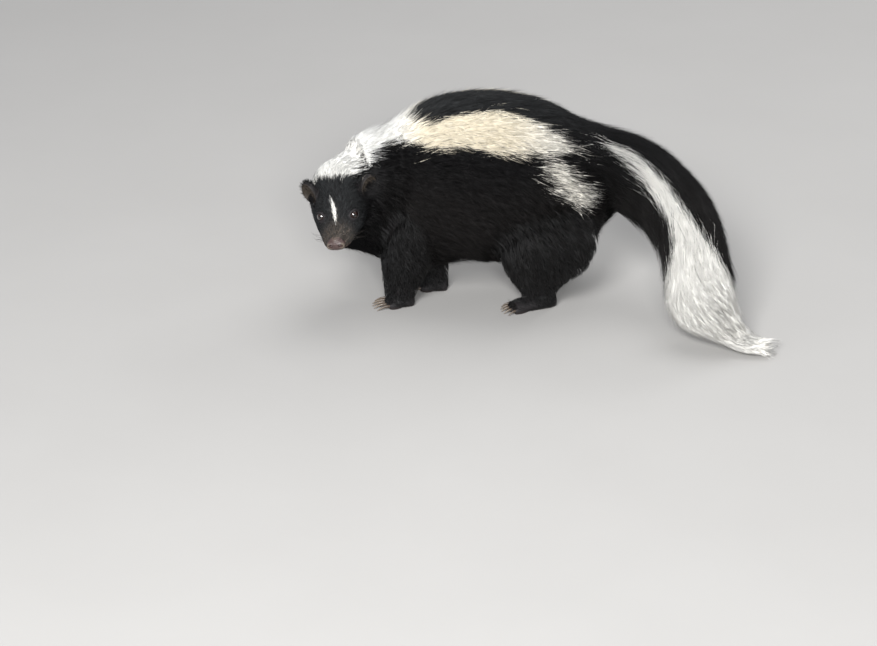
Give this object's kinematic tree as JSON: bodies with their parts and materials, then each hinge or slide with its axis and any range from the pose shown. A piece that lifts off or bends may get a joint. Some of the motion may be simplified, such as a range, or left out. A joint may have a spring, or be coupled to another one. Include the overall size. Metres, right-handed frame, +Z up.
{
  "type": "striped skunk",
  "caption": "Life-size standing skunk model: arched back, head turned to its left, long coat in locks, bushy tail bent down to the floor.",
  "frame": {"origin": "middle of the bounding box in X and Y, on the floor that the paws and the tail stand on", "axes": "+Z up, -X the way the body faces, -Y its left side; the head is turned to its left and the tail is laid back along +X"},
  "size_m": [0.4756, 0.2322, 0.2165],
  "materials": {
    "coat_black": "long dense fur",
    "coat_white": "long dense fur",
    "skin": "bare or thinly haired skin",
    "claw": "horn, satin",
    "eye": "wet gloss"
  },
  "bodies": {
    "root": {"head": "coat_black", "neck": "coat_black", "torso": "coat_black", "foreleg_left": "coat_black", "foreleg_right": "coat_black", "hindleg_left": "coat_black", "hindleg_right": "coat_black", "tail_root": "coat_black", "tail_arch": "coat_black", "tail_plume": "coat_white", "tail_tip": "coat_white", "ear_left": "skin", "ear_right": "skin", "forepaw_left": "skin", "forepaw_right": "skin", "hindpaw_left": "skin", "hindpaw_right": "skin", "eye_left": "eye", "eye_right": "eye", "forepaw_left_claw_1": "claw", "forepaw_left_claw_2": "claw", "forepaw_left_claw_3": "claw", "forepaw_left_claw_4": "claw", "forepaw_left_claw_5": "claw", "forepaw_right_claw_1": "claw", "forepaw_right_claw_2": "claw", "forepaw_right_claw_3": "claw", "forepaw_right_claw_4": "claw", "forepaw_right_claw_5": "claw", "hindpaw_left_claw_1": "claw", "hindpaw_left_claw_2": "claw", "hindpaw_left_claw_3": "claw", "hindpaw_left_claw_4": "claw", "hindpaw_left_claw_5": "claw", "hindpaw_right_claw_1": "claw", "hindpaw_right_claw_2": "claw", "hindpaw_right_claw_3": "claw", "hindpaw_right_claw_4": "claw", "hindpaw_right_claw_5": "claw"}
  },
  "joints": []
}
